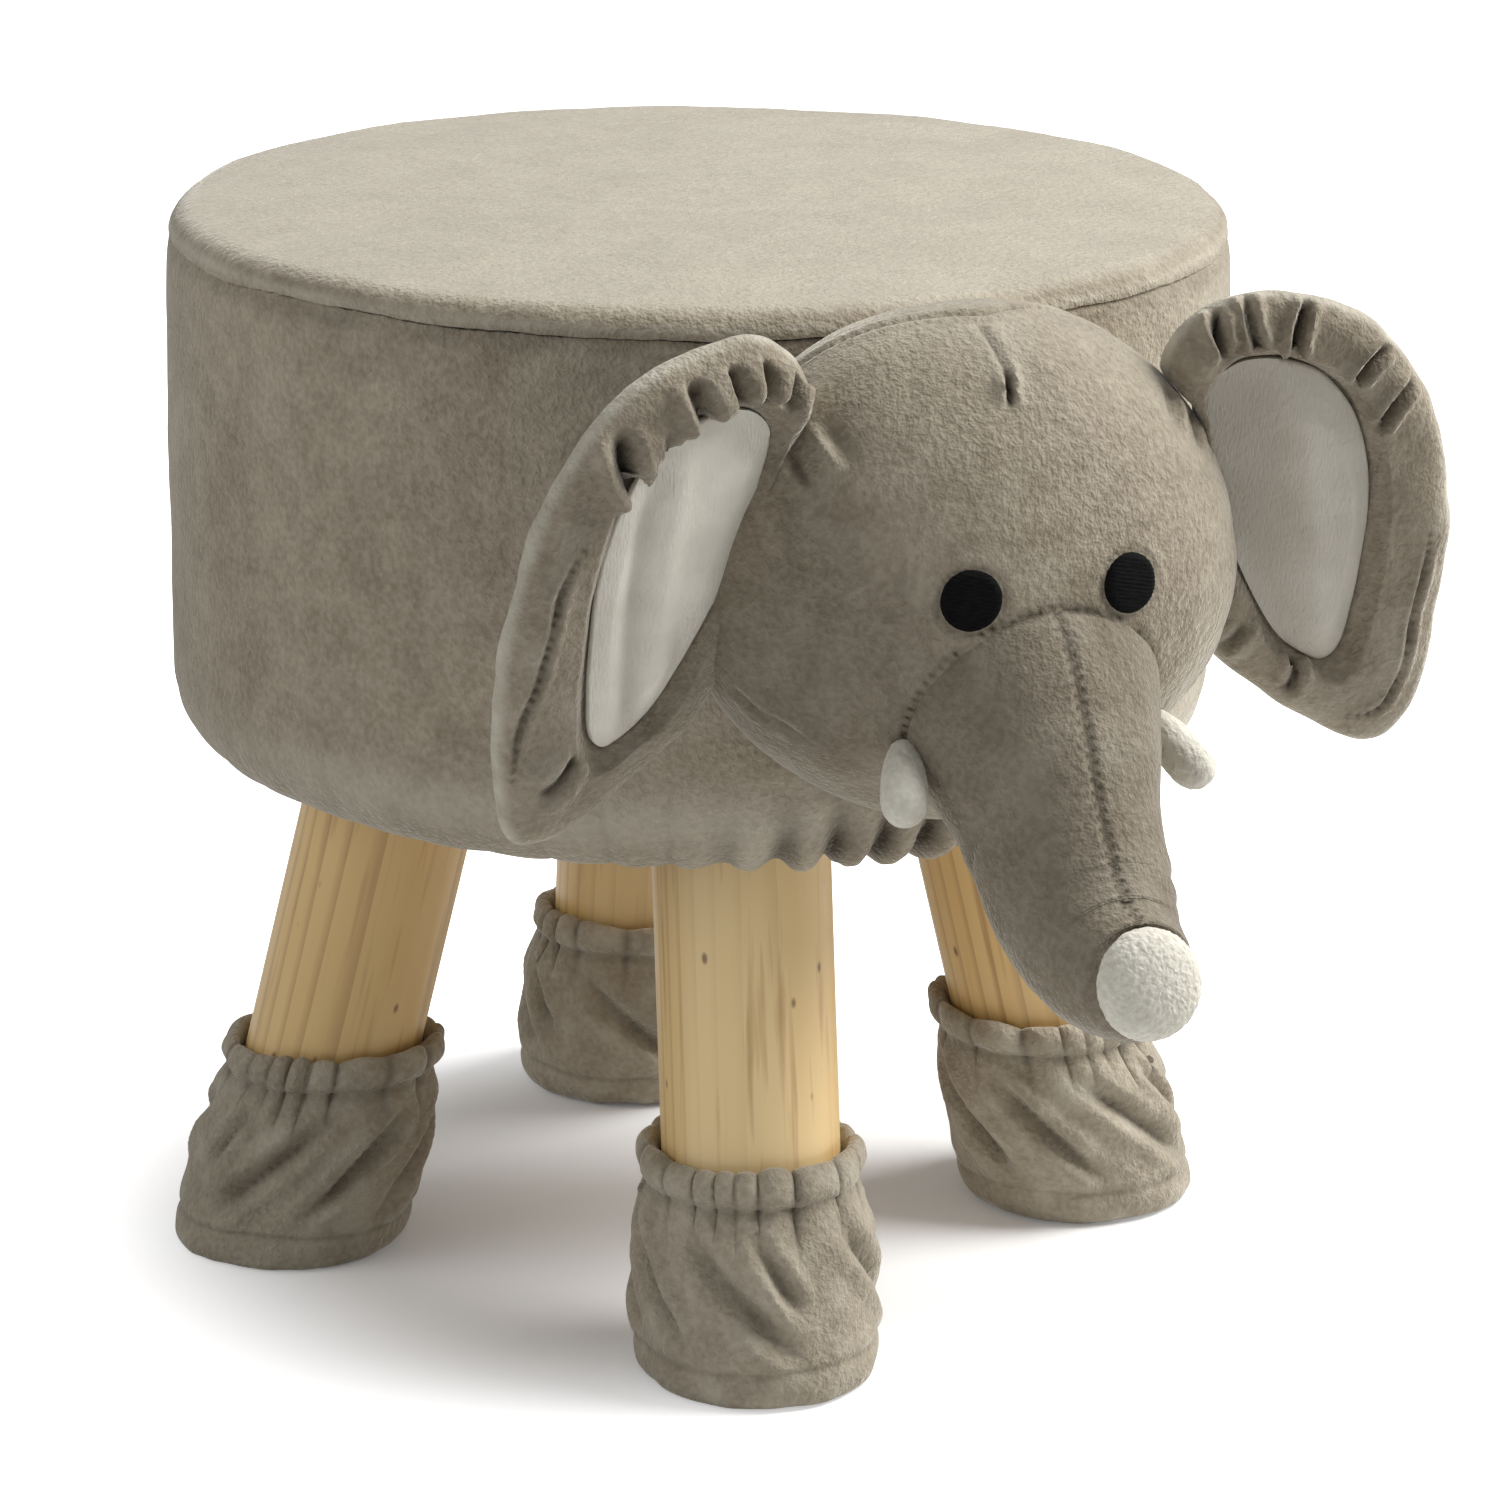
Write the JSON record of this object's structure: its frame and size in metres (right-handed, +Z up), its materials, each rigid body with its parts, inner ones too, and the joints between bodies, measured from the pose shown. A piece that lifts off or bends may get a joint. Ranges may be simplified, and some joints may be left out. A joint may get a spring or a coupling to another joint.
{
  "type": "animal footstool",
  "caption": "Low round padded footstool in a plush cover with a stuffed elephant head on its side, on splayed round wooden legs that wear pull-off plush booties.",
  "frame": {"origin": "on the floor, under the middle of the stool's bounding box", "axes": "+Z up; the elephant faces -Y, so the seat is towards +Y; +X is the elephant's left"},
  "size_m": [0.2812, 0.4118, 0.2944],
  "materials": {
    "grey_plush": "short-pile warm grey plush, brushed in patches",
    "off_white_plush": "off-white fuzzy plush",
    "satin": "off-white satin with a soft sheen",
    "embroidery": "black satin-stitch embroidery",
    "pine": "pale pine under a satin clear lacquer",
    "board": "raw particle board",
    "foam": "open-cell foam",
    "steel": "zinc plated",
    "elastic": "woven elastic"
  },
  "bodies": {
    "stool": {"base_board": "board", "seat_foam": "foam", "top_panel": "grey_plush", "side_panel": "grey_plush", "hem": "grey_plush", "head": "grey_plush", "trunk": "grey_plush", "hem_elastic": "elastic", "trunk_tip": "off_white_plush", "tusk_left": "off_white_plush", "eye_left": "embroidery", "tusk_right": "off_white_plush", "eye_right": "embroidery", "leg_front": "pine", "hanger_bolt_front": "steel", "tee_nut_front": "steel", "leg_left": "pine", "hanger_bolt_left": "steel", "tee_nut_left": "steel", "leg_back": "pine", "hanger_bolt_back": "steel", "tee_nut_back": "steel", "leg_right": "pine", "hanger_bolt_right": "steel", "tee_nut_right": "steel"},
    "ear_left": {"ear_left": "grey_plush", "ear_lining_left": "satin"},
    "ear_right": {"ear_right": "grey_plush", "ear_lining_right": "satin"},
    "bootie_front": {"bootie_front": "grey_plush", "bootie_sole_front": "grey_plush", "bootie_elastic_front": "elastic"},
    "bootie_left": {"bootie_left": "grey_plush", "bootie_sole_left": "grey_plush", "bootie_elastic_left": "elastic"},
    "bootie_back": {"bootie_back": "grey_plush", "bootie_sole_back": "grey_plush", "bootie_elastic_back": "elastic"},
    "bootie_right": {"bootie_right": "grey_plush", "bootie_sole_right": "grey_plush", "bootie_elastic_right": "elastic"}
  },
  "joints": [
    {"name": "ear_left_swing", "type": "hinge", "parent": "stool", "child": "ear_left", "pos_m": [0.06023, -0.10675, 0.259], "axis": [-0.5284, -0.0752, 0.8457], "range_deg": [-20, 25], "stiffness_Nm_per_rad": 0.08},
    {"name": "ear_right_swing", "type": "hinge", "parent": "stool", "child": "ear_right", "pos_m": [-0.06023, -0.10675, 0.259], "axis": [-0.5284, 0.0752, -0.8457], "range_deg": [-20, 25], "stiffness_Nm_per_rad": 0.08},
    {"name": "bootie_front_pull_off", "type": "slide", "parent": "stool", "child": "bootie_front", "axis": [-0.0576, -0.2245, -0.9728], "range_m": [0, 0.06]},
    {"name": "bootie_left_pull_off", "type": "slide", "parent": "stool", "child": "bootie_left", "axis": [0.2245, -0.0576, -0.9728], "range_m": [0, 0.06]},
    {"name": "bootie_back_pull_off", "type": "slide", "parent": "stool", "child": "bootie_back", "axis": [0.0576, 0.2245, -0.9728], "range_m": [0, 0.06]},
    {"name": "bootie_right_pull_off", "type": "slide", "parent": "stool", "child": "bootie_right", "axis": [-0.2245, 0.0576, -0.9728], "range_m": [0, 0.06]}
  ]
}
